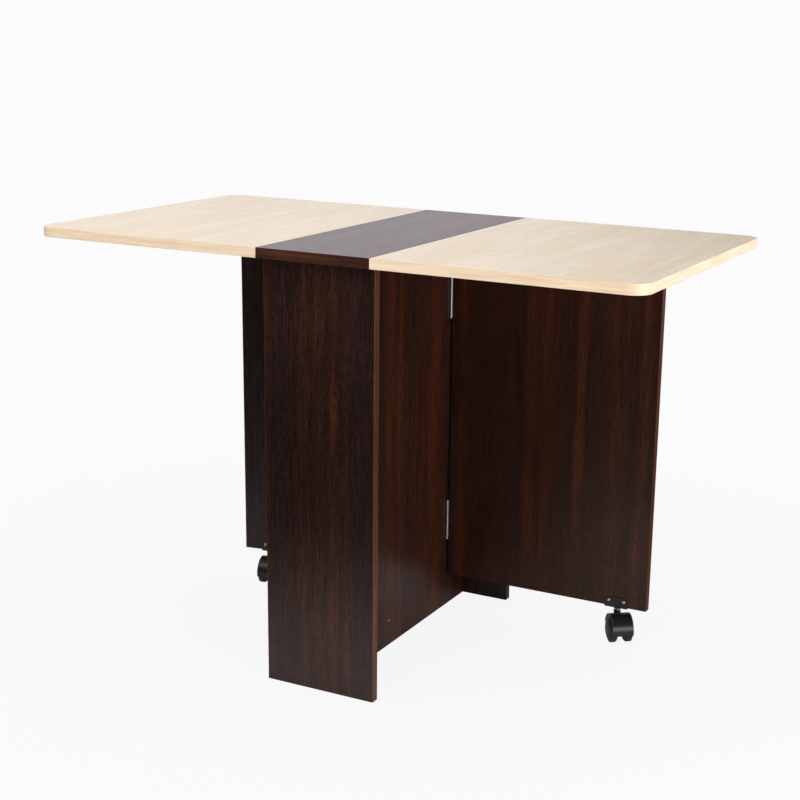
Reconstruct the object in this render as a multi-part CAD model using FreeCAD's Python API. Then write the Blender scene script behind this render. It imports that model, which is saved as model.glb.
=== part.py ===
import FreeCAD, Part
import math
import os
from collections import namedtuple

# A butterfly folding table: a fixed middle on two end panels and a central panel,
# with two drop leaves, each held up by a swinging gate that rolls on a caster.
# Millimetres, +Z up. X runs along the open table, -Y is the front,
# and the origin is on the floor below the middle of the top.

# Top
table_length = 1104.0
table_depth = 592.0
table_height = 750.0
top_thickness = 17.2
center_top_width = 206.4
seam_gap = 1.0
leaf_corner_radius = 30.0
band_thickness = 1.0
band_arris_radius = 0.8

# Panels
board_thickness = 16.0
end_panel_width = 206.0
end_panel_setback = 20.5

# Gates
gate_width = 406.0
gate_floor_gap = 64.0
gate_leaf_gap = 7.0
gate_panel_gap = 4.0
gate_pin_inset = 79.5
left_gate_rest_angle = 9.0

# Gate hinges
gate_hinge_length = 78.0
gate_low_hinge_rise = 72.0
gate_high_hinge_drop = 78.0
gate_hinge_flap = 14.0
gate_hinge_sheet = 1.0
gate_hinge_pin_radius = 1.0
gate_hinge_screw_length = 7.0

# Leaf hinges
leaf_hinge_length = 50.0
leaf_hinge_inset = 70.0
leaf_hinge_barrel_radius = 2.5
leaf_hinge_flap = 24.0
leaf_hinge_sheet = 1.2
leaf_hinge_pin_radius = 1.3
leaf_hinge_screw_length = 12.0

# All hinges
knuckle_count = 5
knuckle_play = 0.2
barrel_play = 0.25
flap_play = 0.5
pin_play = 0.05
rivet_height = 0.6
rivet_share = 0.8
hinge_screw_shares = (0.14, 0.5, 0.86)

# Countersunk screws, and the play of everything that is driven into a hole
screw_shank_radius = 1.4
screw_head_radius = 2.7
screw_tip_length = 2.5
screw_tip_radius = 0.3
fit_play = 0.05

# Cam fittings and dowels
cam_radius = 7.5
cam_depth = 12.5
cam_reach = 34.0
cam_slot_width = 2.0
cam_slot_depth = 2.0
cam_bolt_radius = 2.5
cam_bolt_head_radius = 3.4
cam_bolt_head_length = 5.0
cam_bolt_depth = 10.0
dowel_radius = 4.0
dowel_length = 30.0
dowel_depth = 10.0
panel_cam_shares = (0.14, 0.5, 0.86)
panel_dowel_shares = (0.2, 0.8)
end_top_cam_share = 0.3
end_top_dowel_share = 0.2
central_top_cam_share = 0.28
central_top_dowel_share = 0.1

# Glide on a gate's top edge
glide_radius = 7.0
glide_reach = 330.0
glide_play = 0.3
glide_crown = 1.5
glide_nail_radius = 1.2
glide_nail_length = 14.0

# Caster shoe
shoe_end_distance = 58.0
shoe_width = 44.0
shoe_height = 18.0
shoe_corner_radius = 8.0
shoe_sheet = 1.6
shoe_base = 2.2
shoe_screw_spacing = 29.0
shoe_screw_rise = 10.5
shoe_screw_head_radius = 3.2
shoe_screw_head_height = 1.5
shoe_screw_length = 12.0
shoe_slot_width = 1.2
shoe_slot_depth = 0.8
shoe_slot_share = 0.6
socket_wall = 1.4
socket_depth = 26.0
socket_hub_height = 3.1
socket_hub_wall = 2.4

# Caster
wheel_radius = 25.0
wheel_edge_radius = 3.0
wheel_tread = 10.5
wheel_crown = 6.0
wheel_rim_inset = 5.0
wheel_rim_groove = 0.8
wheel_play = 0.5
caster_trail = 18.0
web_thickness = 16.0
hub_radius = 9.0
axle_radius = 3.0
axle_end_play = 0.5
axle_seat = 9.0
hood_clearance = 1.5
hood_wall = 2.2
hood_low_angle = -10.0
hood_high_angle = 170.0
hood_side_gap = 0.5
boss_radius = 6.5
boss_top = 55.4
stem_radius = 4.0
stem_foot = 30.0
stem_collar_radius = 5.2
stem_collar_play = 0.3
right_trail_angle = -53.0
left_trail_angle = -77.0

# Screw low on the central panel
stray_screw_y = -47.0
stray_screw_z = 47.0
stray_screw_head_radius = 2.4
stray_screw_head_height = 1.2
stray_screw_length = 10.0

# How far a cutting tool runs past the face that it opens
overrun = 1.0

# Places worked out from the sizes above
top_underside = table_height - top_thickness
center_edge_x = center_top_width / 2
leaf_inner_x = center_edge_x + seam_gap
half_length = table_length / 2
half_depth = table_depth / 2
half_board = board_thickness / 2
end_outer_y = half_depth - end_panel_setback
end_inner_y = end_outer_y - board_thickness
end_mid_y = end_outer_y - half_board
half_end_width = end_panel_width / 2
gate_pin_offset = gate_panel_gap / 2
gate_pin_y = end_inner_y - gate_pin_inset
gate_pin_x = half_board + gate_pin_offset
gate_inner_x = half_board + gate_panel_gap
gate_outer_x = gate_inner_x + gate_width
gate_front_y = gate_pin_y + gate_pin_offset
gate_back_y = gate_front_y + board_thickness
gate_mid_y = gate_front_y + half_board
gate_top_z = top_underside - gate_leaf_gap
gate_low_hinge_z = gate_floor_gap + gate_low_hinge_rise
gate_high_hinge_z = gate_top_z - gate_high_hinge_drop - gate_hinge_length
leaf_pin_x = center_edge_x + seam_gap / 2
leaf_pin_z = top_underside - leaf_hinge_barrel_radius - barrel_play
leaf_hinge_y = half_depth - leaf_hinge_inset
stem_x = gate_outer_x - shoe_end_distance
hood_inner_radius = wheel_radius + hood_clearance
hood_outer_radius = hood_inner_radius + hood_wall
wheel_inner_y = web_thickness / 2 + wheel_play
wheel_tread_y = wheel_inner_y + wheel_tread

V = FreeCAD.Vector
X = V(1, 0, 0)
Y = V(0, 1, 0)
Z = V(0, 0, 1)
Hinge = namedtuple("Hinge", "length barrel pin sheet flap screw")
gate_hinge = Hinge(gate_hinge_length, gate_pin_offset - barrel_play, gate_hinge_pin_radius,
                   gate_hinge_sheet, gate_hinge_flap, gate_hinge_screw_length)
leaf_hinge = Hinge(leaf_hinge_length, leaf_hinge_barrel_radius, leaf_hinge_pin_radius,
                   leaf_hinge_sheet, leaf_hinge_flap, leaf_hinge_screw_length)


def slab(x_span, y_span, z_span):
    size = [abs(span[1] - span[0]) for span in (x_span, y_span, z_span)]
    return Part.makeBox(*size, V(min(x_span), min(y_span), min(z_span)))


def rod(start, direction, radius, length):
    return Part.makeCylinder(radius, length, start, direction)


def placed(shape, base, axis, angle):
    moved = shape.copy()
    moved.Placement = FreeCAD.Placement(base, FreeCAD.Rotation(axis, angle)).multiply(shape.Placement)
    return moved


def group(solids):
    return Part.makeCompound(solids)


def mirrored(shapes):
    return [shape.mirror(V(0, 0, 0), X) for shape in shapes]


def both_sides(shapes):
    return shapes + mirrored(shapes)


# A flat face with the given corners, each rounded by its own radius
def rounded_face(corners, radii):
    edges = []
    ends = []
    for index, corner in enumerate(corners):
        to_last = (corners[index - 1] - corner).normalize()
        to_next = (corners[(index + 1) % len(corners)] - corner).normalize()
        half_angle = to_last.getAngle(to_next) / 2
        reach = radii[index] / math.tan(half_angle)
        start = corner + to_last * reach
        end = corner + to_next * reach
        ends.append((start, end))
        if radii[index] > 0:
            inward = (to_last + to_next).normalize()
            middle = corner + inward * (radii[index] / math.sin(half_angle) - radii[index])
            edges.append(Part.Arc(start, middle, end).toShape())
    for index, (start, end) in enumerate(ends):
        edges.append(Part.LineSegment(ends[index - 1][1], start).toShape())
    return Part.Face(Part.Wire(Part.__sortEdges__(edges)))


# A solid of revolution from an outline of (along, radius) points about an axis
def turned(edges, centre, axis):
    return Part.Face(Part.Wire(edges)).revolve(centre, axis, 360)


# A countersunk screw whose flat head starts at the given point
def flat_screw(start, direction, length, play=0.0):
    head_height = screw_head_radius - screw_shank_radius
    head = Part.makeCone(screw_head_radius + play, screw_shank_radius + play, head_height, start, direction)
    shank_length = length - head_height - screw_tip_length
    shank = rod(start + direction * head_height, direction, screw_shank_radius + play, shank_length)
    tip_start = start + direction * (length - screw_tip_length)
    tip = Part.makeCone(screw_shank_radius + play, screw_tip_radius + play, screw_tip_length,
                        tip_start, direction)
    return head.fuse([shank, tip]).removeSplitter()


# A round-headed screw with an upright slot, whose head stands out of the face at the given point
def round_screw(start, direction, length, head_radius, head_height):
    ball_radius = (head_radius ** 2 + head_height ** 2) / (2 * head_height)
    ball_centre = start - direction * (head_height - ball_radius)
    head = Part.makeSphere(ball_radius, ball_centre)
    head = head.common(rod(start - direction * head_height, direction, head_radius, head_height))
    across = direction.cross(Z).normalize()
    slot_length = 2 * head_radius * shoe_slot_share
    corner = start - direction * head_height - across * (shoe_slot_width / 2) - Z * (slot_length / 2)
    slot = Part.Face(Part.makePolygon([
        corner, corner + across * shoe_slot_width,
        corner + across * shoe_slot_width + Z * slot_length, corner + Z * slot_length, corner]))
    slot = slot.extrude(direction * shoe_slot_depth)
    head = head.cut(slot)
    shank = rod(start, direction, screw_shank_radius, length - screw_tip_length)
    tip_start = start + direction * (length - screw_tip_length)
    tip = Part.makeCone(screw_shank_radius, screw_tip_radius, screw_tip_length, tip_start, direction)
    return head.fuse([shank, tip]).removeSplitter()


def pilot(start, direction, length):
    return rod(start, direction, screw_shank_radius + fit_play, length)


# Hinges: the pin runs along Z from 0, a half's flap points along side * X,
# and the flap lies on a board at face * Y
def knuckle_spans(hinge, first):
    pitch = hinge.length / knuckle_count
    return [(index * pitch + knuckle_play / 2, (index + 1) * pitch - knuckle_play / 2)
            for index in range(first, knuckle_count, 2)]


def hinge_screws(hinge, side, face, play=0.0):
    along = side * (hinge.flap + hinge.barrel) / 2
    exposed = face * (hinge.barrel + barrel_play - hinge.sheet)
    return [flat_screw(V(along, exposed, hinge.length * share), Y * face, hinge.screw, play)
            for share in hinge_screw_shares]


def hinge_half(hinge, side, face, first):
    seat = hinge.barrel + barrel_play
    sheet_span = (face * (seat - hinge.sheet), face * seat)
    flap_start = hinge.barrel + flap_play
    half = slab((side * flap_start, side * hinge.flap), sheet_span, (0, hinge.length))
    for low, high in knuckle_spans(hinge, first):
        tongue = slab((0, side * flap_start), sheet_span, (low, high))
        barrel = rod(V(0, 0, low), Z, hinge.barrel, high - low)
        half = half.fuse([tongue, barrel])
    bore = rod(V(0, 0, -overrun), Z, hinge.pin + pin_play, hinge.length + 2 * overrun)
    return half.cut([bore] + hinge_screws(hinge, side, face, fit_play)).removeSplitter()


def hinge_pin(hinge):
    pin = rod(V(0, 0, 0), Z, hinge.pin, hinge.length)
    heads = [rod(V(0, 0, low), Z, hinge.barrel * rivet_share, rivet_height)
             for low in (-rivet_height + knuckle_play / 2, hinge.length - knuckle_play / 2)]
    return pin.fuse(heads).removeSplitter()


def at_gate_hinges(shape):
    return [placed(shape, V(gate_pin_x, gate_pin_y, low), Z, 90)
            for low in (gate_low_hinge_z, gate_high_hinge_z)]


def at_leaf_hinges(shape):
    return [placed(shape, V(leaf_pin_x, middle + leaf_hinge.length / 2, leaf_pin_z), X, 90)
            for middle in (-leaf_hinge_y, 0, leaf_hinge_y)]


def spread(place, shapes):
    return [copy for shape in shapes for copy in place(shape)]


# An edge band along a board, with its two long outer edges eased
def edge_band(x_span, y_span, z_span, outward):
    band = slab(x_span, y_span, z_span)
    length = max(edge.Length for edge in band.Edges)
    middle = band.CenterOfMass
    outer_edges = [edge for edge in band.Edges
                   if math.isclose(edge.Length, length) and (edge.CenterOfMass - middle).dot(outward) > 0]
    return band.makeFillet(band_arris_radius, outer_edges)


# Cam fittings: the bolt starts in a face, and its head is held by a disc in the joining board
def cam_bolt(face_point, direction, play=0.0):
    shank_start = face_point - direction * (cam_bolt_depth + play)
    shank = rod(shank_start, direction, cam_bolt_radius + play, cam_bolt_depth + cam_reach + play)
    head_start = face_point + direction * (cam_reach - cam_bolt_head_length / 2)
    head = rod(head_start, direction, cam_bolt_head_radius + play, cam_bolt_head_length)
    return shank.fuse(head).removeSplitter()


def cam_bolt_bore(face_point, direction):
    bore = rod(face_point, direction, cam_bolt_head_radius + fit_play, cam_reach + cam_bolt_head_length)
    return bore.fuse(cam_bolt(face_point, direction, fit_play))


def cam_hole(face_point, direction, depth_direction, play=0.0):
    mouth = face_point + direction * cam_reach - depth_direction * half_board
    return rod(mouth, depth_direction, cam_radius + play, cam_depth + play)


def cam_disc(face_point, direction, depth_direction):
    mouth = face_point + direction * cam_reach - depth_direction * half_board
    across = direction.cross(depth_direction).normalize()
    corner = mouth - across * cam_radius - direction * (cam_slot_width / 2)
    slot = Part.Face(Part.makePolygon([
        corner, corner + across * (2 * cam_radius),
        corner + across * (2 * cam_radius) + direction * cam_slot_width,
        corner + direction * cam_slot_width, corner])).extrude(depth_direction * cam_slot_depth)
    disc = cam_hole(face_point, direction, depth_direction)
    return disc.cut([slot, cam_bolt_bore(face_point, direction)])


def dowel(face_point, direction, play=0.0):
    start = face_point - direction * (dowel_depth + play)
    return rod(start, direction, dowel_radius + play, dowel_length + 2 * play)


# Where the fittings sit: a face point, the way into the joining board and the way into its cam hole
panel_cam_places = [(V(0, side * end_inner_y, top_underside * share), Y * -side, X)
                    for side in (-1, 1) for share in panel_cam_shares]
panel_dowel_places = [(V(0, side * end_inner_y, top_underside * share), Y * -side)
                      for side in (-1, 1) for share in panel_dowel_shares]
end_cam_places = [(V(end_panel_width * share, side * end_mid_y, top_underside), -Z, Y * side)
                  for side in (-1, 1) for share in (-end_top_cam_share, end_top_cam_share)]
end_dowel_places = [(V(end_panel_width * share, side * end_mid_y, top_underside), -Z)
                    for side in (-1, 1) for share in (-end_top_dowel_share, end_top_dowel_share)]
central_cam_places = [(V(0, table_depth * share, top_underside), -Z, X)
                      for share in (-central_top_cam_share, central_top_cam_share)]
central_dowel_places = [(V(0, table_depth * share, top_underside), -Z)
                        for share in (-central_top_dowel_share, central_top_dowel_share)]


def fitting_tools(cam_places, dowel_places):
    tools = [cam_bolt_bore(point, direction) for point, direction, depth in cam_places]
    tools += [cam_hole(point, direction, depth, fit_play) for point, direction, depth in cam_places]
    return tools + [dowel(point, direction, fit_play) for point, direction in dowel_places]


def fittings(nodes):
    top_cam_places = end_cam_places + central_cam_places
    nodes["panel_cam_bolts"] = group([cam_bolt(point, way) for point, way, depth in panel_cam_places])
    nodes["panel_cam_discs"] = group([cam_disc(*place) for place in panel_cam_places])
    nodes["panel_dowels"] = group([dowel(*place) for place in panel_dowel_places])
    nodes["top_cam_bolts"] = group([cam_bolt(point, way) for point, way, depth in top_cam_places])
    nodes["top_cam_discs"] = group([cam_disc(*place) for place in top_cam_places])
    nodes["top_dowels"] = group([dowel(*place) for place in end_dowel_places + central_dowel_places])


# Fixed middle of the top
def center_top(nodes):
    z_span = (top_underside, table_height)
    core_x = center_edge_x - band_thickness
    core_y = half_depth - band_thickness
    x_span = (-core_x, core_x)
    board = slab(x_span, (-core_y, core_y), z_span)
    tools = fitting_tools(end_cam_places + central_cam_places, end_dowel_places + central_dowel_places)
    tools += both_sides(spread(at_leaf_hinges, hinge_screws(leaf_hinge, -1, 1, fit_play)))
    nodes["center_top"] = board.cut(tools)
    bands = [edge_band(x_span, (side * core_y, side * half_depth), z_span, Y * side) for side in (-1, 1)]
    y_span = (-half_depth, half_depth)
    bands += [edge_band((side * core_x, side * center_edge_x), y_span, z_span, X * side) for side in (-1, 1)]
    nodes["center_top_edge_bands"] = group(bands)


def end_panel(side):
    core_x = half_end_width - band_thickness
    y_span = (side * end_inner_y, side * end_outer_y)
    board = slab((-core_x, core_x), y_span, (0, top_underside))
    end_cams = [place for place in end_cam_places if place[0].y * side > 0]
    end_dowels = [place for place in end_dowel_places if place[0].y * side > 0]
    panel_cams = [place for place in panel_cam_places if place[0].y * side > 0]
    panel_dowels = [place for place in panel_dowel_places if place[0].y * side > 0]
    tools = fitting_tools(end_cams, end_dowels) + fitting_tools(panel_cams, panel_dowels)
    bands = [edge_band((edge * core_x, edge * half_end_width), y_span, (0, top_underside), X * edge)
             for edge in (-1, 1)]
    return board.cut(tools), group(bands)


def panels(nodes):
    nodes["front_end_panel"], nodes["front_end_panel_edge_bands"] = end_panel(-1)
    nodes["rear_end_panel"], nodes["rear_end_panel_edge_bands"] = end_panel(1)
    stray = round_screw(V(half_board, stray_screw_y, stray_screw_z), -X, stray_screw_length,
                        stray_screw_head_radius, stray_screw_head_height)
    board = slab((-half_board, half_board), (-end_inner_y, end_inner_y), (0, top_underside))
    tools = fitting_tools(panel_cam_places, panel_dowel_places)
    tools += fitting_tools(central_cam_places, central_dowel_places)
    tools += both_sides(spread(at_gate_hinges, hinge_screws(gate_hinge, 1, 1, fit_play)))
    tools.append(pilot(V(half_board, stray_screw_y, stray_screw_z), -X, stray_screw_length))
    nodes["central_panel"] = board.cut(tools)
    nodes["central_panel_screw"] = stray


# Drop leaves
def leaf_outline(inset):
    outer_x = half_length - inset
    front_y = half_depth - inset
    corners = [V(leaf_inner_x, -front_y, top_underside), V(outer_x, -front_y, top_underside),
               V(outer_x, front_y, top_underside), V(leaf_inner_x, front_y, top_underside)]
    radius = leaf_corner_radius - inset
    return rounded_face(corners, [0, radius, radius, 0]).extrude(Z * top_thickness)


def leaves(nodes):
    core = leaf_outline(band_thickness)
    whole = leaf_outline(0)
    rim = [edge for edge in whole.Edges
           if edge.BoundBox.ZLength < top_thickness and edge.CenterOfMass.x > leaf_inner_x + seam_gap]
    band = whole.makeFillet(band_arris_radius, rim).cut(core)
    board = core.cut(spread(at_leaf_hinges, hinge_screws(leaf_hinge, 1, 1, fit_play)))
    right = {"leaf": [board], "leaf_edge_band": [band],
             "leaf_hinge_leaf_flaps": at_leaf_hinges(hinge_half(leaf_hinge, 1, 1, 1)),
             "leaf_hinge_leaf_screws": spread(at_leaf_hinges, hinge_screws(leaf_hinge, 1, 1)),
             "leaf_hinge_top_flaps": at_leaf_hinges(hinge_half(leaf_hinge, -1, 1, 0)),
             "leaf_hinge_pins": at_leaf_hinges(hinge_pin(leaf_hinge))}
    for name, shapes in right.items():
        nodes["right_" + name] = group(shapes)
        nodes["left_" + name] = group(mirrored(shapes))
    top_screws = spread(at_leaf_hinges, hinge_screws(leaf_hinge, -1, 1))
    nodes["leaf_hinge_top_screws"] = group(both_sides(top_screws))


# Shoe that holds a caster's stem under a gate
def shoe_screw_points():
    front_y = gate_front_y - shoe_sheet
    screw_z = gate_floor_gap + shoe_screw_rise
    return [V(stem_x + side * shoe_screw_spacing / 2, front_y, screw_z) for side in (-1, 1)]


def shoe():
    half_width = shoe_width / 2
    front_y = gate_front_y - shoe_sheet
    base_z = gate_floor_gap - shoe_base
    top_z = gate_floor_gap + shoe_height
    corners = [V(stem_x - half_width, front_y, base_z), V(stem_x + half_width, front_y, base_z),
               V(stem_x + half_width, front_y, top_z), V(stem_x - half_width, front_y, top_z)]
    block = rounded_face(corners, [0, 0, shoe_corner_radius, shoe_corner_radius])
    block = block.extrude(Y * (board_thickness + 2 * shoe_sheet))
    x_span = (stem_x - half_width - overrun, stem_x + half_width + overrun)
    block = block.cut(slab(x_span, (gate_front_y, gate_back_y), (gate_floor_gap, top_z + overrun)))
    hub_low = V(stem_x, gate_mid_y, base_z - socket_hub_height)
    hub = rod(hub_low, Z, stem_radius + socket_hub_wall, socket_hub_height + shoe_base)
    socket = rod(V(stem_x, gate_mid_y, base_z), Z, stem_radius + socket_wall, shoe_base + socket_depth)
    bore = rod(hub_low, Z, stem_radius + pin_play, socket_hub_height + shoe_base + socket_depth)
    tools = [bore] + [pilot(point, Y, shoe_screw_length) for point in shoe_screw_points()]
    return block.fuse([hub, socket]).cut(tools).removeSplitter()


def glide():
    height = gate_leaf_gap - glide_play
    x = gate_pin_x + glide_reach
    side_z = height - glide_crown
    ball_radius = (glide_radius ** 2 + glide_crown ** 2) / (2 * glide_crown)
    top = V(x, gate_mid_y, gate_top_z + height)
    crown = Part.makeSphere(ball_radius, top - Z * ball_radius)
    disc = rod(V(x, gate_mid_y, gate_top_z), Z, glide_radius, height).common(
        crown.fuse(rod(V(x, gate_mid_y, gate_top_z), Z, glide_radius, side_z)))
    nail = rod(V(x, gate_mid_y, gate_top_z - glide_nail_length), Z, glide_nail_radius, glide_nail_length)
    return disc.fuse(nail).removeSplitter()


# Gates, modelled square to the central panel on the right
def gate_board():
    board = slab((gate_inner_x, gate_outer_x - band_thickness), (gate_front_y, gate_back_y),
                 (gate_floor_gap, gate_top_z))
    tools = spread(at_gate_hinges, hinge_screws(gate_hinge, 1, -1, fit_play))
    tools += [pilot(point, Y, shoe_screw_length) for point in shoe_screw_points()]
    tools.append(rod(V(stem_x, gate_mid_y, gate_floor_gap), Z, stem_radius + socket_wall + fit_play,
                     socket_depth + fit_play))
    tools.append(rod(V(gate_pin_x + glide_reach, gate_mid_y, gate_top_z - glide_nail_length), Z,
                     glide_nail_radius + fit_play, glide_nail_length))
    return board.cut(tools)


def gate_shapes():
    band = edge_band((gate_outer_x - band_thickness, gate_outer_x), (gate_front_y, gate_back_y),
                     (gate_floor_gap, gate_top_z), X)
    screws = [round_screw(point, Y, shoe_screw_length, shoe_screw_head_radius, shoe_screw_head_height)
              for point in shoe_screw_points()]
    return {"gate": [gate_board()], "gate_edge_band": [band], "gate_glide": [glide()],
            "gate_hinge_gate_flaps": at_gate_hinges(hinge_half(gate_hinge, 1, -1, 1)),
            "gate_hinge_gate_screws": spread(at_gate_hinges, hinge_screws(gate_hinge, 1, -1)),
            "caster_shoe": [shoe()], "caster_shoe_screws": screws}


def turn_left_gate(shape):
    turned_shape = shape.copy()
    turned_shape.rotate(V(-gate_pin_x, gate_pin_y, 0), Z, left_gate_rest_angle)
    return turned_shape


def gates(nodes):
    for name, shapes in gate_shapes().items():
        nodes["right_" + name] = group(shapes)
        nodes["left_" + name] = group([turn_left_gate(shape) for shape in mirrored(shapes)])
    fixed = {"gate_hinge_panel_flaps": at_gate_hinges(hinge_half(gate_hinge, 1, 1, 0)),
             "gate_hinge_pins": at_gate_hinges(hinge_pin(gate_hinge))}
    for name, shapes in fixed.items():
        nodes["right_" + name] = group(shapes)
        nodes["left_" + name] = group(mirrored(shapes))
    panel_screws = spread(at_gate_hinges, hinge_screws(gate_hinge, 1, 1))
    nodes["gate_hinge_panel_screws"] = group(both_sides(panel_screws))


# Casters, modelled with the stem on Z, the wheels trailing towards +X and the axle along Y
def axle_centre(y):
    return V(caster_trail, y, wheel_radius)


def hood_sector(inner, outer, half_width):
    corners = [axle_centre(side * half_width) + X * radius
               for side, radius in ((-1, inner), (1, inner), (1, outer), (-1, outer))]
    profile = Part.Face(Part.makePolygon(corners + corners[:1]))
    profile.rotate(axle_centre(0), -Y, hood_low_angle)
    return profile.revolve(axle_centre(0), -Y, hood_high_angle - hood_low_angle)


def hood():
    half_web = web_thickness / 2
    shell = hood_sector(hood_inner_radius, hood_outer_radius, wheel_tread_y + hood_side_gap)
    web = hood_sector(axle_radius, hood_inner_radius + hood_wall / 2, half_web)
    hub = rod(axle_centre(-half_web), Y, hub_radius, web_thickness)
    boss = rod(V(0, 0, wheel_radius), Z, boss_radius, boss_top - wheel_radius)
    axle_bore = rod(axle_centre(-half_web - overrun), Y, axle_radius + fit_play,
                    web_thickness + 2 * overrun)
    stem_bore = rod(V(0, 0, stem_foot - fit_play), Z, stem_radius + fit_play,
                    boss_top - stem_foot + overrun)
    return shell.fuse([web, hub, boss]).cut([axle_bore, stem_bore]).removeSplitter()


# A wheel on the +Y side: a rounded tread, a crowned outer face with a rim groove, a blind axle bore
def wheel():
    crown_y = wheel_tread_y + wheel_crown
    ball_radius = (wheel_radius ** 2 + wheel_crown ** 2) / (2 * wheel_crown)
    ball_y = crown_y - ball_radius
    half_radius = wheel_radius / 2
    bore_radius = axle_radius + pin_play
    bore_end = wheel_inner_y + axle_seat + axle_end_play
    edge_sag = wheel_edge_radius * (1 - math.sqrt(0.5))

    def at(along, radius):
        return axle_centre(along) + Z * radius

    edge_start = at(wheel_inner_y, wheel_radius - wheel_edge_radius)
    edge_middle = at(wheel_inner_y + edge_sag, wheel_radius - edge_sag)
    edge_end = at(wheel_inner_y + wheel_edge_radius, wheel_radius)
    crown_middle = at(ball_y + math.sqrt(ball_radius ** 2 - half_radius ** 2), half_radius)
    edges = [Part.LineSegment(at(wheel_inner_y, bore_radius), edge_start).toShape(),
             Part.Arc(edge_start, edge_middle, edge_end).toShape(),
             Part.LineSegment(edge_end, at(wheel_tread_y, wheel_radius)).toShape(),
             Part.Arc(at(wheel_tread_y, wheel_radius), crown_middle, at(crown_y, 0)).toShape(),
             Part.LineSegment(at(crown_y, 0), at(bore_end, 0)).toShape(),
             Part.LineSegment(at(bore_end, 0), at(bore_end, bore_radius)).toShape(),
             Part.LineSegment(at(bore_end, bore_radius), at(wheel_inner_y, bore_radius)).toShape()]
    body = turned(edges, axle_centre(0), Y)
    rim_radius = wheel_radius - wheel_rim_inset
    rim_y = ball_y + math.sqrt(ball_radius ** 2 - rim_radius ** 2)
    return body.cut(Part.makeTorus(rim_radius, wheel_rim_groove, axle_centre(rim_y), Y))


# A steel stem with a collar that stands on the hood's boss
def stem():
    stem_top = gate_floor_gap + socket_depth
    hub_low = gate_floor_gap - shoe_base - socket_hub_height
    collar = rod(V(0, 0, boss_top), Z, stem_collar_radius, hub_low - stem_collar_play - boss_top)
    return rod(V(0, 0, stem_foot), Z, stem_radius, stem_top - stem_foot).fuse(collar).removeSplitter()


def caster_shapes():
    half_axle = wheel_inner_y + axle_seat
    right_wheel = wheel()
    return {"hood": hood(), "stem": stem(),
            "axle": rod(axle_centre(-half_axle), Y, axle_radius, 2 * half_axle),
            "rear_wheel": right_wheel, "front_wheel": right_wheel.mirror(V(0, 0, 0), Y)}


def casters(nodes):
    right_stem = Part.Vertex(stem_x, gate_mid_y, 0)
    left_stem = turn_left_gate(right_stem.mirror(V(0, 0, 0), X))
    for name, shape in caster_shapes().items():
        nodes["right_caster_" + name] = placed(shape, right_stem.Point, Z, right_trail_angle)
        nodes["left_caster_" + name] = placed(shape, left_stem.Point, Z, left_trail_angle)


nodes = {}
center_top(nodes)
panels(nodes)
fittings(nodes)
leaves(nodes)
gates(nodes)
casters(nodes)

os.makedirs("parts", exist_ok=True)
for name, shape in nodes.items():
    shape.exportStep(os.path.join("parts", name + ".step"))
    state = "valid" if shape.isValid() else "not valid"
    print(name, len(shape.Solids), "solids", round(shape.Volume), "cubic mm", state)
print(len(nodes), "nodes")
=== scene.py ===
import math
import bpy
from mathutils import Matrix, Vector

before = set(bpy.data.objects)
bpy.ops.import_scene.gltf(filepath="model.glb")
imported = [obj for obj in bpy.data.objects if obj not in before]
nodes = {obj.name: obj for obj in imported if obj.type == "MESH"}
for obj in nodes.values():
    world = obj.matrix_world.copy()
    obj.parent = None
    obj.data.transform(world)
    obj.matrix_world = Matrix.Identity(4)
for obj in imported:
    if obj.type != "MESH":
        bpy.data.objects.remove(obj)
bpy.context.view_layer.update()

screenCurve = {"full": 255, "toeEnd": 0.04045, "toeSlope": 12.92, "offset": 0.055, "power": 2.4}


# A colour as it is read off a screen, 0 to 255, in the linear values that sockets take
def tint(red, green, blue):
    def linear(level):
        share = level / screenCurve["full"]
        if share <= screenCurve["toeEnd"]:
            return share / screenCurve["toeSlope"]
        return ((share + screenCurve["offset"]) / (1 + screenCurve["offset"])) ** screenCurve["power"]
    return (linear(red), linear(green), linear(blue), 1.0)


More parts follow.
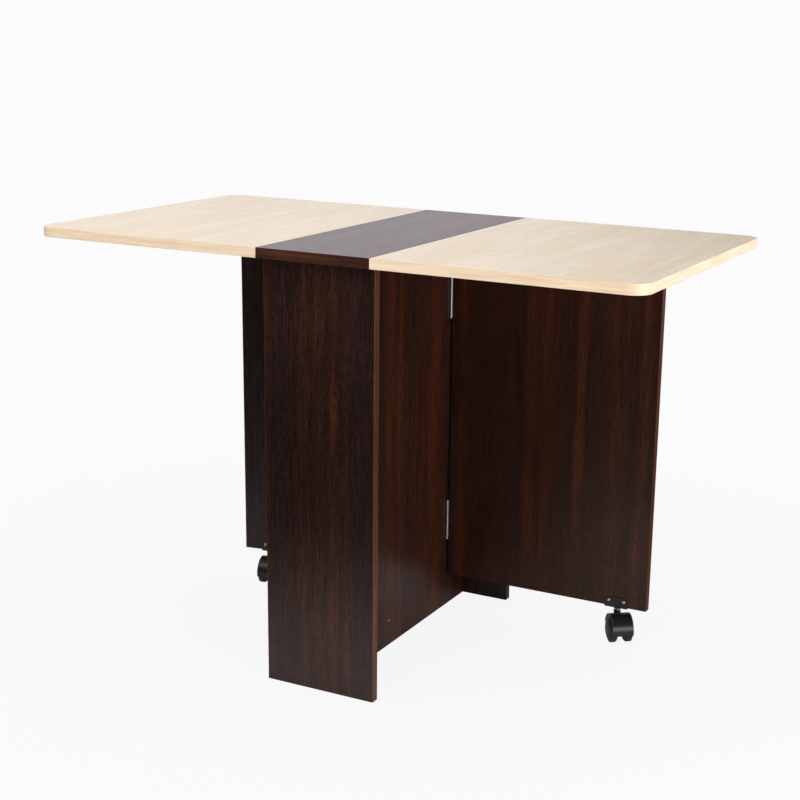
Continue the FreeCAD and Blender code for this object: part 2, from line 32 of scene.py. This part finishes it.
# One socket of a node tree; sums on it add Math nodes
class Wire:
    def __init__(self, tree, socket=None):
        self.tree = tree
        self.socket = socket

    # Any node: its settings first, then the values or links of its sockets
    def node(self, kind, settings=None, values=None, out=0):
        made = self.tree.nodes.new("ShaderNode" + kind)
        for name, value in (settings or {}).items():
            setattr(made, name, value)
        for key, value in (values or {}).items():
            if isinstance(value, Wire):
                self.tree.links.new(value.socket, made.inputs[key])
            else:
                made.inputs[key].default_value = value
        return Wire(self.tree, made.outputs[out])

    def math(self, operation, first, second=0.0):
        return self.node("Math", {"operation": operation}, {0: first, 1: second})

    def __add__(self, other):
        return self.math("ADD", self, other)

    def __sub__(self, other):
        return self.math("SUBTRACT", self, other)

    def __rsub__(self, other):
        return self.math("SUBTRACT", other, self)

    def __mul__(self, other):
        return self.math("MULTIPLY", self, other)

    def __truediv__(self, other):
        return self.math("DIVIDE", self, other)

    def __rtruediv__(self, other):
        return self.math("DIVIDE", other, self)

    __radd__ = __add__
    __rmul__ = __mul__

    def size(self):
        return self.math("ABSOLUTE", self)

    def root(self):
        return self.math("SQRT", self)

    # Waves between 0 and 1, so many of them while this value grows by 1
    def waves(self, count):
        return (1 + self.math("SINE", self * (count * math.tau))) / 2

    # 0 at low, 1 at high, smooth between; low may be the larger one
    def step(self, low, high):
        return self.node("MapRange", {"interpolation_type": "SMOOTHSTEP"}, {0: self, 1: low, 2: high})

    def axis(self, name):
        return self.node("SeparateXYZ", None, {0: self}, name)

    # Object coordinates in metres, moved by a seed and squeezed by a scale on each axis
    def coordinates(self, scale=(1.0, 1.0, 1.0), seed=0.0):
        place = self.node("TexCoord", None, None, "Object")
        return self.node("Mapping", None, {"Vector": place, "Location": (seed, seed, seed), "Scale": scale})

    # Noise over the surface, whose spots are drawn out along the named axes
    def grain(self, along, pattern, seed=0.0):
        scale = tuple(pattern["draw"] if axis in along else 1.0 for axis in "XYZ")
        place = self.coordinates(scale, seed + pattern["shift"])
        return self.node("TexNoise", None, {
            "Vector": place, "Scale": pattern["size"], "Detail": pattern["detail"],
            "Roughness": pattern["roughness"], "Distortion": pattern["distortion"]})

    # Colours: this wire is the share of the second one
    def blend(self, first, second):
        return self.node("Mix", {"data_type": "RGBA"}, {0: self, 6: first, 7: second}, 2)

    def bump(self, strength, distance):
        return self.node("Bump", None, {"Strength": strength, "Distance": distance, "Height": self})


noiseMean = 0.5


# Spots of noise: how many to a metre, the squeeze that draws them out, and a shift to a place of their own
def noisePattern(size, draw=1.0, shift=0.0, detail=2.0, roughness=0.6, distortion=0.0):
    return {"size": size, "draw": draw, "shift": shift, "detail": detail, "roughness": roughness,
            "distortion": distortion}


# A new material and its shader; values that are the same all over are set on the sockets
def newFinish(name, sockets):
    material = bpy.data.materials.new(name)
    material.use_nodes = True
    shader = material.node_tree.nodes["Principled BSDF"]
    for key, value in sockets.items():
        shader.inputs[key].default_value = value
    return material, Wire(material.node_tree), shader.inputs


def plug(wire, socket):
    wire.tree.links.new(wire.socket, socket)


darkLines = noisePattern(480.0, draw=0.025, shift=4.0)
darkDashes = noisePattern(950.0, draw=0.09, shift=6.0)
black = tint(0, 0, 0)

# Each tone of the dark print is a pair: its dark grain lines and the wood between them.
# Warm and plum places across a board: middle and half width in metres, and strength.
# Painted shade: a board may be darker at part of its height, where less light falls on it: share, and where
# that starts, is full, falls and ends.
darkWood = {
    "along": "Z", "across": "X", "seed": 0.0, "specular": 0.4,
    "body": (tint(28, 13, 8), tint(58, 28, 15)), "warm": (tint(46, 20, 8), tint(92, 42, 17)),
    "plum": (tint(22, 12, 12), tint(45, 25, 24)), "vein": tint(20, 10, 7),
    "warmPlaces": [(-0.099, 0.01, 0.25), (-0.03, 0.02, 0.4), (0.002, 0.018, 0.5), (0.031, 0.014, 0.9),
                   (0.053, 0.01, 0.6)],
    "plumPlaces": [(-0.08, 0.024, 0.9), (0.043, 0.006, 0.5), (0.072, 0.022, 0.8)],
    "figure": noisePattern(7.0, draw=0.11, roughness=0.45, distortion=0.5), "wander": 0.03,
    "rings": 9.0, "ringSpan": (0.72, 1.0), "ringLineSpan": (0.3, 0.6), "ringShare": 0.3,
    "fade": noisePattern(11.0, draw=0.4, shift=8.0, detail=1.0, roughness=0.5), "fadeSpan": (0.3, 0.62),
    "fadeShare": 0.6,
    "lines": darkLines, "dashes": darkDashes, "lineShare": 0.42, "grainSpan": (0.37, 0.63),
    "pores": noisePattern(900.0, draw=0.03, shift=5.0), "poreSpan": (0.52, 0.66),
    "roughness": 0.32, "poreRoughness": 0.1, "bump": 0.03, "bumpDepth": 0.0001, "paintedShade": None}
# Front end panel: a painted shade in the middle of its height
darkFront = dict(
    darkWood, body=(tint(23, 11, 8), tint(55, 28, 17)), warm=(tint(37, 16, 8), tint(86, 40, 17)),
    plum=(tint(21, 13, 13), tint(50, 31, 30)), paintedShade=(0.32, 0.14, 0.3, 0.46, 0.64))
# Rear end panel: the print in darker, greyer tones, a painted shade for the shadow behind the gate
rearInPaintedShade = dict(
    darkWood, seed=6.1, specular=0.25, body=(tint(19, 14, 12), tint(43, 29, 24)),
    warm=(tint(30, 17, 12), tint(64, 36, 24)), plum=(tint(17, 13, 13), tint(38, 28, 28)))
# Gate: its own print places, and a painted shade over its lower part, full below 0.46 m and gone by 0.66 m
darkGate = dict(
    darkWood, seed=4.3, specular=0.33, body=(tint(34, 17, 11), tint(61, 31, 15)),
    warm=(tint(54, 25, 11), tint(94, 45, 17)), plum=(tint(29, 17, 17), tint(50, 30, 28)),
    warmPlaces=[(0.037, 0.018, 0.5), (0.178, 0.018, 0.5), (0.212, 0.022, 0.5), (0.271, 0.014, 0.75),
                (0.34, 0.035, 0.5), (0.394, 0.016, 0.9)],
    plumPlaces=[(0.018, 0.014, 0.6), (0.08, 0.03, 0.9), (0.15, 0.02, 0.4), (0.305, 0.024, 0.4)],
    dashes=dict(darkDashes, size=720.0), paintedShade=(0.2, -1.0, -0.9, 0.46, 0.66))
# Left gate: its own print places in greyer, duller tones, a painted shade for the shadow under the left leaf
leftGateInPaintedShade = dict(
    darkWood, seed=3.4, specular=0.36, body=(tint(26, 15, 12), tint(54, 33, 23)),
    warm=(tint(40, 21, 12), tint(80, 44, 25)), plum=(tint(21, 14, 14), tint(45, 31, 29)),
    warmPlaces=[(-0.055, 0.02, 0.5), (-0.15, 0.016, 0.8), (-0.215, 0.022, 0.5), (-0.3, 0.016, 0.5)],
    plumPlaces=[(-0.1, 0.03, 0.8), (-0.255, 0.02, 0.5), (-0.38, 0.05, 0.8)])
darkCentral = dict(
    darkWood, across="Y", seed=2.6, specular=0.25, body=(tint(25, 12, 8), tint(62, 31, 19)),
    warmPlaces=[(-0.15, 0.03, 0.4), (-0.045, 0.025, 0.5), (-0.009, 0.015, 0.5), (0.125, 0.04, 0.6)],
    plumPlaces=[(-0.09, 0.03, 0.5), (0.03, 0.035, 0.5)],
    lines=dict(darkLines, size=360.0), dashes=dict(darkDashes, size=620.0))
darkStrip = dict(
    darkWood, along="Y", seed=1.7, specular=0.65, body=(tint(26, 13, 11), tint(74, 40, 36)),
    warm=(tint(62, 29, 18), tint(132, 68, 44)), plum=(tint(28, 17, 24), tint(62, 41, 52)),
    warmPlaces=[(-0.06, 0.02, 0.5), (0.035, 0.026, 0.6)], plumPlaces=[(-0.02, 0.03, 0.6), (0.08, 0.02, 0.5)],
    lines=dict(darkLines, size=210.0), poreRoughness=0.05, bump=0.01)


# Dark printed laminate: tones at their places that fade along the grain, under fine lines, dashes and
# arches, and on some boards a painted shade over part of the height
def darkLaminate(name, look):
    material, start, shader = newFinish(name, {"Specular IOR Level": look["specular"]})
    figure, fading, lines, dashes, poreSpots = (
        start.grain(look["along"], look[part], look["seed"])
        for part in ("figure", "fade", "lines", "dashes", "pores"))
    fade = fading.step(*look["fadeSpan"])
    pores = poreSpots.step(*look["poreSpan"])
    place = start.coordinates().axis(look["across"]) + (figure - noiseMean) * look["wander"]

    def share(spots):
        runs = sum((place - middle).size().step(width, 0.0) * strength for middle, width, strength in spots)
        return runs * (1 - look["fadeShare"] + fade * look["fadeShare"])

    warm, plum = share(look["warmPlaces"]), share(look["plumPlaces"])
    darkTone, woodTone = (
        warm.blend(plum.blend(body, plumTone), warmTone)
        for body, plumTone, warmTone in zip(look["body"], look["plum"], look["warm"]))
    grain = lines * look["lineShare"] + dashes * (1 - look["lineShare"])
    colour = grain.step(*look["grainSpan"]).blend(darkTone, woodTone)
    arches = figure.waves(look["rings"]).step(*look["ringSpan"]) * lines.step(*look["ringLineSpan"])
    colour = (arches * look["ringShare"]).blend(colour, look["vein"])
    # Painted shade: darker over part of the board's height, standing in for less light there
    if look["paintedShade"]:
        strength, low, full, fall, high = look["paintedShade"]
        height = start.coordinates().axis(look["along"])
        colour = (height.step(low, full) * height.step(high, fall) * strength).blend(colour, black)
    plug(colour, shader["Base Color"])
    plug(look["roughness"] + pores * look["poreRoughness"], shader["Roughness"])
    plug((1 - pores).bump(look["bump"], look["bumpDepth"]), shader["Normal"])
    return material


darkEdgeLines = noisePattern(420.0, draw=0.02, detail=3.0)
darkEdge = {
    "along": "Z", "seed": 0.0, "specular": 0.4,
    "body": tint(84, 42, 18), "dark": tint(60, 29, 12), "fleck": tint(100, 54, 24),
    "lines": darkEdgeLines, "lineSpan": (0.3, 0.7),
    "flecks": noisePattern(60.0, draw=0.1, shift=2.0, roughness=0.5), "fleckSpan": (0.5, 0.75),
    "fleckShare": 0.6, "roughness": 0.4, "lineRoughness": 0.1, "bump": 0.05, "bumpDepth": 0.0002}
darkGateEdge = dict(darkEdge, seed=3.0, specular=0.15)
# Rear edge band: darker, greyer tones, a painted shade for the shadow behind the gate
rearEdgeInPaintedShade = dict(darkEdge, seed=1.0, specular=0.15, roughness=0.42,
                    body=tint(44, 25, 17), dark=tint(32, 18, 12), fleck=tint(54, 31, 20))
darkTopEdge = dict(darkEdge, along="X", seed=2.0, roughness=0.42, lines=dict(darkEdgeLines, size=360.0),
                   body=tint(76, 34, 15), dark=tint(46, 20, 9), fleck=tint(90, 44, 20))


# Dark edge band: redder than the boards, with fine lines along its run
def darkEdgeBand(name, look):
    material, start, shader = newFinish(name, {"Specular IOR Level": look["specular"]})
    lines, flecks = (start.grain(look["along"], look[part], look["seed"]) for part in ("lines", "flecks"))
    colour = lines.step(*look["lineSpan"]).blend(look["dark"], look["body"])
    colour = (flecks.step(*look["fleckSpan"]) * look["fleckShare"]).blend(colour, look["fleck"])
    plug(colour, shader["Base Color"])
    plug(look["roughness"] + lines * look["lineRoughness"], shader["Roughness"])
    plug(lines.bump(look["bump"], look["bumpDepth"]), shader["Normal"])
    return material


paleWood = {
    "along": "Y", "specular": 0.5, "body": tint(230, 212, 186), "light": tint(239, 225, 203),
    "line": tint(214, 191, 160), "honey": tint(229, 207, 172), "rose": tint(229, 206, 184),
    "figure": noisePattern(6.0, draw=0.16, roughness=0.45, distortion=0.4), "rings": 8.0,
    "ringSpan": (0.6, 1.0), "ringStreakSpan": (0.3, 0.6), "ringShare": 0.24,
    "streaks": noisePattern(95.0, draw=0.05, shift=3.0, detail=3.0), "streakSpan": (0.3, 0.7),
    "dashes": noisePattern(300.0, draw=0.07, shift=4.0), "dashSpan": (0.5, 0.7), "dashShare": 0.4,
    "honeySpots": noisePattern(9.0, draw=0.3, shift=7.0, roughness=0.5), "honeySpan": (0.45, 0.7),
    "roseSpots": noisePattern(14.0, draw=0.3, shift=9.0, roughness=0.5), "roseSpan": (0.5, 0.75),
    "spotShare": 0.5, "pores": noisePattern(800.0, draw=0.035, shift=5.0), "poreSpan": (0.55, 0.7),
    "roughness": 0.36, "poreRoughness": 0.1, "bump": 0.02, "bumpDepth": 0.0001}


# Pale printed laminate: quiet grain of short dashes, soft patches of two tones and a few faint arches
def paleLaminate(name, look):
    material, start, shader = newFinish(name, {"Specular IOR Level": look["specular"]})
    figure, streaks, dashSpots, honey, rose, poreSpots = (
        start.grain(look["along"], look[part])
        for part in ("figure", "streaks", "dashes", "honeySpots", "roseSpots", "pores"))
    dashes = dashSpots.step(*look["dashSpan"])
    pores = poreSpots.step(*look["poreSpan"])
    colour = streaks.step(*look["streakSpan"]).blend(look["body"], look["light"])
    colour = (honey.step(*look["honeySpan"]) * look["spotShare"]).blend(colour, look["honey"])
    colour = (rose.step(*look["roseSpan"]) * look["spotShare"]).blend(colour, look["rose"])
    arches = figure.waves(look["rings"]).step(*look["ringSpan"]) * streaks.step(*look["ringStreakSpan"])
    colour = (arches * look["ringShare"]).blend(colour, look["line"])
    colour = (dashes * look["dashShare"]).blend(colour, look["line"])
    plug(colour, shader["Base Color"])
    plug(look["roughness"] + pores * look["poreRoughness"], shader["Roughness"])
    plug((1 - pores).bump(look["bump"], look["bumpDepth"]), shader["Normal"])
    return material


paleEdge = {
    "along": "XY", "specular": 0.5,
    "body": tint(236, 215, 186), "line": tint(225, 196, 162), "light": tint(240, 223, 198),
    "lines": noisePattern(420.0, draw=0.03, detail=3.0), "lineSpan": (0.34, 0.66),
    "patches": noisePattern(110.0, draw=0.1, shift=2.0, roughness=0.5), "patchSpan": (0.48, 0.72),
    "patchShare": 0.5, "roughness": 0.26, "lineRoughness": 0.08, "bump": 0.04, "bumpDepth": 0.0002}


# Pale edge band: fine lines that run round the leaf, so they change mostly with height
def paleEdgeBand(name, look):
    material, start, shader = newFinish(name, {"Specular IOR Level": look["specular"]})
    lines, patches = (start.grain(look["along"], look[part]) for part in ("lines", "patches"))
    colour = lines.step(*look["lineSpan"]).blend(look["line"], look["body"])
    colour = (patches.step(*look["patchSpan"]) * look["patchShare"]).blend(colour, look["light"])
    plug(colour, shader["Base Color"])
    plug(look["roughness"] + lines * look["lineRoughness"], shader["Roughness"])
    plug(lines.bump(look["bump"], look["bumpDepth"]), shader["Normal"])
    return material


# Metals: clouds of duller plating, and finer marks along the height
hingeSteel = {
    "colour": tint(224, 222, 215), "dull": tint(176, 175, 168), "dullShare": 0.7,
    "roughness": 0.26, "spread": 0.2, "bump": 0.06, "bumpDepth": 0.0001,
    "cloudSize": 160.0, "cloudDetail": 3.0, "marksInCloud": 9, "markDraw": 0.15}
screwSteel = dict(
    hingeSteel, colour=tint(214, 213, 208), dull=tint(176, 175, 170),
    roughness=0.22, spread=0.18, cloudSize=300.0)
casterSteel = dict(
    hingeSteel, colour=tint(222, 222, 220), dull=tint(185, 185, 182),
    roughness=0.36, spread=0.16, cloudSize=200.0)
zincFitting = dict(
    hingeSteel, colour=tint(170, 170, 168), dull=tint(135, 135, 134), roughness=0.38, cloudSize=250.0)


# Plated or drawn metal with fine wear in its gloss
def metalFinish(name, look):
    material, start, shader = newFinish(name, {"Metallic": 1.0})
    cloud = start.grain("", noisePattern(look["cloudSize"], detail=look["cloudDetail"]))
    marks = start.grain("Z", noisePattern(look["cloudSize"] * look["marksInCloud"], draw=look["markDraw"]))
    plug((cloud * look["dullShare"]).blend(look["colour"], look["dull"]), shader["Base Color"])
    plug(look["roughness"] + (cloud + marks) * (look["spread"] / 2), shader["Roughness"])
    plug(marks.bump(look["bump"], look["bumpDepth"]), shader["Normal"])
    return material


# Plastics: a fine moulded grain, and scuffs that are some grains wide
blackPlastic = {
    "colour": tint(20, 20, 21), "worn": tint(31, 31, 32), "roughness": 0.27, "specular": 0.5,
    "grainSize": 2200.0, "bump": 0.1, "bumpDepth": 0.0002,
    "grainsInScuff": 12, "scuffDraw": 0.3, "scuffDetail": 4.0, "scuffNoise": 0.65,
    "scuffSpan": (0.5, 0.8), "scuffShare": 0.5, "scuffRoughness": 0.12}
wheelPlastic = dict(
    blackPlastic, colour=tint(22, 22, 23), worn=tint(35, 35, 36), roughness=0.38, grainSize=1800.0)
glidePlastic = dict(
    blackPlastic, colour=tint(214, 208, 196), worn=tint(190, 182, 168),
    roughness=0.42, grainSize=1500.0, bump=0.05)


# Moulded plastic with a fine grain and faint scuffs
def plasticFinish(name, look):
    material, start, shader = newFinish(name, {"Specular IOR Level": look["specular"]})
    grain = start.grain("", noisePattern(look["grainSize"]))
    scuffs = start.grain("Y", noisePattern(look["grainSize"] / look["grainsInScuff"], draw=look["scuffDraw"],
                                           detail=look["scuffDetail"], roughness=look["scuffNoise"]))
    worn = scuffs.step(*look["scuffSpan"]) * look["scuffShare"]
    plug(worn.blend(look["colour"], look["worn"]), shader["Base Color"])
    plug(look["roughness"] + scuffs * look["scuffRoughness"], shader["Roughness"])
    plug(grain.bump(look["bump"], look["bumpDepth"]), shader["Normal"])
    return material


beechWood = {
    "dark": tint(168, 126, 88), "light": tint(206, 168, 124), "flecks": noisePattern(600.0, detail=3.0),
    "fleckSpan": (0.3, 0.7), "roughness": 0.6, "bump": 0.1, "bumpDepth": 0.0002}


# Turned beech of the dowels
def beechFinish(name, look):
    material, start, shader = newFinish(name, {"Roughness": look["roughness"]})
    flecks = start.grain("", look["flecks"])
    plug(flecks.step(*look["fleckSpan"]).blend(look["dark"], look["light"]), shader["Base Color"])
    plug(flecks.bump(look["bump"], look["bumpDepth"]), shader["Normal"])
    return material


# The function that makes each finish, and the look that it takes
finishLooks = [
    (darkLaminate, {"dark_end": darkFront, "dark_rear": rearInPaintedShade, "dark_central": darkCentral,
                    "dark_gate": darkGate, "left_gate_painted_shade": leftGateInPaintedShade, "dark_top": darkStrip}),
    (darkEdgeBand, {"dark_band": darkEdge, "dark_gate_band": darkGateEdge, "rear_band_painted_shade": rearEdgeInPaintedShade,
                    "dark_top_band": darkTopEdge}),
    (paleLaminate, {"pale_leaf": paleWood}),
    (paleEdgeBand, {"pale_band": paleEdge}),
    (metalFinish, {"hinge_steel": hingeSteel, "screw_steel": screwSteel, "caster_steel": casterSteel,
                   "zinc_fitting": zincFitting}),
    (beechFinish, {"beech": beechWood}),
    (plasticFinish, {"glide_plastic": glidePlastic, "black_plastic": blackPlastic,
                     "wheel_plastic": wheelPlastic})]

# Which finish a piece takes, by the end of its name; the first match holds
finishOf = [
    ("rear_end_panel_edge_bands", "rear_band_painted_shade"), ("center_top_edge_bands", "dark_top_band"),
    ("gate_edge_band", "dark_gate_band"), ("leaf_edge_band", "pale_band"), ("edge_bands", "dark_band"),
    ("center_top", "dark_top"), ("_leaf", "pale_leaf"), ("left_gate", "left_gate_painted_shade"),
    ("_gate", "dark_gate"), ("rear_end_panel", "dark_rear"), ("end_panel", "dark_end"),
    ("central_panel", "dark_central"),
    ("cam_bolts", "zinc_fitting"), ("cam_discs", "zinc_fitting"), ("dowels", "beech"),
    ("screws", "screw_steel"), ("screw", "screw_steel"), ("flaps", "hinge_steel"), ("pins", "hinge_steel"),
    ("glide", "glide_plastic"), ("shoe", "black_plastic"), ("hood", "black_plastic"),
    ("wheel", "wheel_plastic"), ("stem", "caster_steel"), ("axle", "caster_steel")]


def dressNodes():
    finishes = {name: make(name, look) for make, looks in finishLooks for name, look in looks.items()}
    for name, piece in nodes.items():
        chosen = next(finish for ending, finish in finishOf if name.endswith(ending))
        for slot in piece.material_slots:
            slot.material = finishes[chosen]
    print("finishes:", len(finishes), "on", len(nodes), "pieces")


dressNodes()


# 1 on rays of that kind, 0 on others
def rays(start, kind):
    return start.node("LightPath", None, None, "Is " + kind + " Ray")


# Rays that show the stage itself, to the camera or through glass
def shownRays(start):
    return start.math("MAXIMUM", rays(start, "Camera"), rays(start, "Transmission"))


# Spans in metres: from the middle, where even white takes over and where gloss loses the lit paper,
# and behind the table, where gloss meets a white sweep
stage = {
    "radius": 9.0, "corners": 96, "drop": 0.0004, "paper": tint(240, 240, 240), "white": tint(251, 251, 251),
    "nearWhite": 0.92, "whiteSpan": (0.7, 1.8), "glossSpan": (0.3, 1.05), "sweepSpan": (3.0, 3.8)}


# Pale floor: lit paper near the table, even white further out, and the table's shadow stays on it
def addFloor():
    bpy.ops.object.select_all(action="DESELECT")
    bpy.ops.mesh.primitive_circle_add(vertices=stage["corners"], radius=stage["radius"], fill_type="NGON",
                                      location=(0, 0, -stage["drop"]))
    floor = bpy.context.object
    floor.name = "floor"
    material = bpy.data.materials.new("pale_floor")
    material.use_nodes = True
    tree = material.node_tree
    tree.nodes.clear()
    start = Wire(tree)
    spot = start.node("TexCoord", None, None, "Object")
    reach = start.node("VectorMath", {"operation": "LENGTH"}, {0: spot}, "Value")
    evenWhite = stage["nearWhite"] + reach.step(*stage["whiteSpan"]) * (1 - stage["nearWhite"])
    farGloss = rays(start, "Glossy") * reach.step(*stage["glossSpan"])
    paper = start.node("BsdfDiffuse", None, {"Color": stage["paper"]})
    dark = start.node("Emission", None, {"Strength": 0.0})
    white = start.node("Emission", None, {"Color": stage["white"]})
    sweep = start.node("MixShader", None, {0: spot.axis("Y").step(*stage["sweepSpan"]), 1: dark, 2: white})
    lit = start.node("MixShader", None, {0: farGloss, 1: paper, 2: sweep})
    mixed = start.node("MixShader", None, {0: shownRays(start) * evenWhite, 1: lit, 2: white})
    plug(mixed, tree.nodes.new("ShaderNodeOutputMaterial").inputs["Surface"])
    floor.data.materials.append(material)


addFloor()

# In gloss the studio is dim, with a white wall at the back left and a low white sweep at the back right.
# Spans are parts of a direction of length 1: left, back and right on the level, and up for the sweep's top.
studio = {
    "white": tint(251, 251, 251), "mauve": tint(254, 249, 254), "ambient": 0.78, "tilt": 0.1, "shine": 0.06,
    "wallSpan": (0.22, 0.42), "backSpan": (-0.1, 0.4), "sweepSpan": (0.05, 0.15), "sweepTop": (0.14, 0.04),
    "leastLevel": 0.0001}


# White studio round the table, whose even glow lights it from all sides, a little more from the right
def addWorld():
    world = bpy.data.worlds.new("studio")
    bpy.context.scene.world = world
    world.use_nodes = True
    tree = world.node_tree
    tree.nodes.clear()
    start = Wire(tree)
    gloss = rays(start, "Glossy")
    way = start.node("TexCoord", None, None, "Generated")
    across, along, up = (way.axis(name) for name in "XYZ")
    level = (across * across + along * along + studio["leastLevel"]).root()
    right = across / level
    back = (along / level).step(*studio["backSpan"])
    wall = (0 - right).step(*studio["wallSpan"]) * back
    sweep = right.step(*studio["sweepSpan"]) * back * up.step(*studio["sweepTop"])
    shine = studio["shine"] + (wall + sweep) * (1 - studio["shine"])
    ambient = studio["ambient"] + across * studio["tilt"]
    strength = ambient * (1 - gloss) + gloss * shine
    glow = start.node("Background", None, {"Color": gloss.blend(studio["white"], studio["mauve"]),
                                           "Strength": start.math("MAXIMUM", strength, shownRays(start))})
    plug(glow, tree.nodes.new("ShaderNodeOutputWorld").inputs["Surface"])


addWorld()

# Soft boxes: place, aim and size in metres, and power in watts
softBoxes = {
    "right_front_box": {
        "place": (2.5, -1.6, 0.75), "aim": (0.1, 0.0, 0.5), "size": (1.0, 1.0), "power": 18.2},
    "right_box": {
        "place": (2.6, -0.3, 0.55), "aim": (0.1, 0.0, 0.45), "size": (1.4, 1.0), "power": 18.0},
    "front_top_box": {
        "place": (-0.7, -1.7, 2.4), "aim": (-0.1, 0.0, 0.7), "size": (1.6, 1.2), "power": 13.0},
    "high_box": {
        "place": (-0.6, -0.9, 2.7), "aim": (-0.1, 0.0, 0.7), "size": (1.6, 1.2), "power": 9.0}}


def addSoftBoxes():
    for name, box in softBoxes.items():
        light = bpy.data.lights.new(name, "AREA")
        light.shape = "RECTANGLE"
        light.size, light.size_y = box["size"]
        light.energy = box["power"]
        lamp = bpy.data.objects.new(name, light)
        bpy.context.scene.collection.objects.link(lamp)
        lamp.location = box["place"]
        lamp.rotation_euler = (Vector(box["aim"]) - Vector(box["place"])).to_track_quat("-Z", "Y").to_euler()
        lamp.visible_camera = False


addSoftBoxes()

# Turns in degrees, lens and sensor in millimetres; a camera looks straight down until it is lifted
cameraSpot = {
    "place": (1.25643, -2.33063, 1.11005), "yaw": 26.46, "lift": 90.0, "pitch": -15.15, "roll": 1.07,
    "lens": 68.95, "sensor": 36.0, "shift": (-0.0593, 0.039)}


def turned(degrees, axis):
    return Matrix.Rotation(math.radians(degrees), 4, axis)


# The photograph's viewpoint
def addCamera():
    data = bpy.data.cameras.new("camera")
    data.lens = cameraSpot["lens"]
    data.sensor_width = cameraSpot["sensor"]
    data.shift_x, data.shift_y = cameraSpot["shift"]
    camera = bpy.data.objects.new("camera", data)
    bpy.context.scene.collection.objects.link(camera)
    tilt = turned(cameraSpot["lift"] + cameraSpot["pitch"], "X")
    camera.matrix_world = (Matrix.Translation(cameraSpot["place"]) @ turned(cameraSpot["yaw"], "Z") @ tilt
                           @ turned(cameraSpot["roll"], "Z"))
    bpy.context.scene.camera = camera


addCamera()
bpy.context.scene.view_settings.view_transform = "Standard"
print("stage, lights and camera are set")
